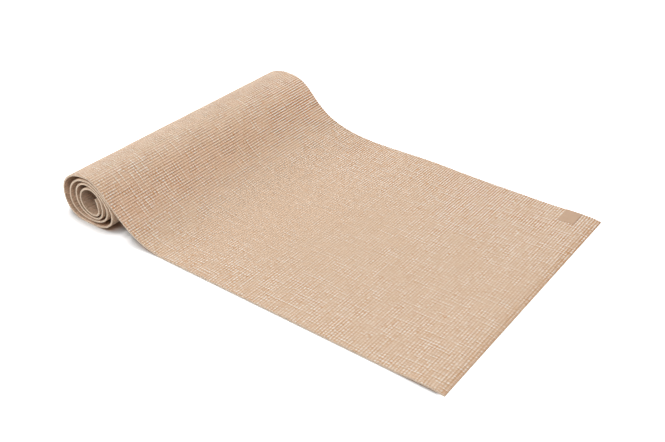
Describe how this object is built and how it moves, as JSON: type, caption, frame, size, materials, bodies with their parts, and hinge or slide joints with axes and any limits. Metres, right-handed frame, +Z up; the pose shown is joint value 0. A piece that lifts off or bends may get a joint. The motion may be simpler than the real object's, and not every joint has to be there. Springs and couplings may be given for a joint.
{
  "type": "yoga mat",
  "caption": "Ribbed foam exercise mat with a reinforcing scrim, part rolled: a loose roll at one end and a flat stretch that rests on the floor.",
  "frame": {"origin": "on the floor, under the middle of the box round the part-rolled mat", "axes": "+X along the mat from the roll to the free end, +Y along the roll's axis, +Z up"},
  "size_m": [0.8581, 0.61, 0.105],
  "materials": {
    "upper_foam": "matt closed-cell foam with a ribbed, linen-like face",
    "scrim_yarn": "plain open weave of polyester yarn",
    "lower_foam": "matt closed-cell foam, slightly tacky",
    "corner_label": "smooth matt patch, bare"
  },
  "bodies": {
    "root": {"upper_foam": "upper_foam", "reinforcing_scrim": "scrim_yarn", "lower_foam": "lower_foam", "corner_label": "corner_label"}
  },
  "joints": []
}
